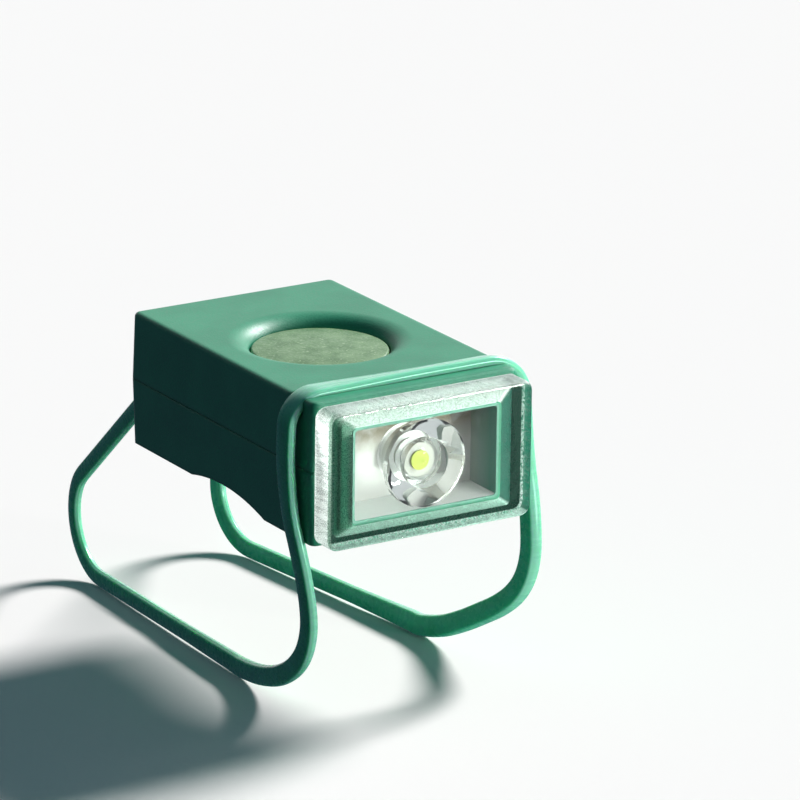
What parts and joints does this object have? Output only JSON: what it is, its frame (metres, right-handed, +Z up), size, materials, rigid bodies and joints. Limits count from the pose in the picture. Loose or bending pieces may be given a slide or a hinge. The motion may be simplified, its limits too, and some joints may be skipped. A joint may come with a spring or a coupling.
{
  "type": "bicycle headlight",
  "caption": "Strap-on bicycle headlight with a clear rectangular lens, a round press button and a soft band that loops under the handlebar.",
  "frame": {"origin": "middle of the concave saddle pad under the casing, where the handlebar touches it", "axes": "-Y is the way the lens faces, +X runs along the handlebar to the lens's right as seen in the picture, +Z is up out of the button"},
  "size_m": [0.0349, 0.0666, 0.0404],
  "materials": {
    "casing": "fine moulded grain",
    "strap_silicone": "satin silicone",
    "button_rubber": "translucent, finely grained",
    "clear_plastic": "polished front, frosted sides",
    "white_plastic": "smooth",
    "white_board": "satin",
    "led_case": "satin",
    "phosphor": "smooth",
    "contact_metal": "plated",
    "seal": "matte",
    "black_plastic": "matte",
    "board": "varnished",
    "ceramic": "satin",
    "cell_steel": "brushed",
    "screw_steel": "plain"
  },
  "bodies": {
    "housing": {"upper_shell": "casing", "lower_shell": "casing", "case_seal": "seal", "lens": "clear_plastic", "lens_seal": "seal", "reflector_tray": "white_plastic", "collimator": "clear_plastic", "led_board": "white_board", "led_package": "led_case", "led_phosphor": "phosphor", "led_pins": "contact_metal", "button_seal": "seal", "switch_body": "black_plastic", "switch_legs": "contact_metal", "circuit_board": "board", "microcontroller": "black_plastic", "resistors": "black_plastic", "capacitors": "ceramic", "positive_contact": "contact_metal", "strap": "strap_silicone", "case_screws": "screw_steel", "board_screws": "screw_steel"},
    "button": {"button": "button_rubber"},
    "plunger": {"switch_plunger": "black_plastic"},
    "battery_tray": {"battery_cover": "casing", "saddle_pad": "strap_silicone", "negative_contact": "contact_metal", "lower_cell": "cell_steel", "upper_cell": "cell_steel"}
  },
  "joints": [
    {"name": "button_press", "type": "slide", "parent": "housing", "child": "button", "axis": [0, 0, -1], "range_m": [0, 0.0004], "stiffness_N_per_m": 3300},
    {"name": "switch_press", "type": "slide", "parent": "housing", "child": "plunger", "axis": [0, 0, -1], "range_m": [0, 0.0004]},
    {"name": "battery_tray_slide", "type": "slide", "parent": "housing", "child": "battery_tray", "axis": [0, 0, -1], "range_m": [0, 0.014]}
  ],
  "couplings": [
    {"joint": "switch_press", "follows": "button_press", "ratio": 1}
  ]
}
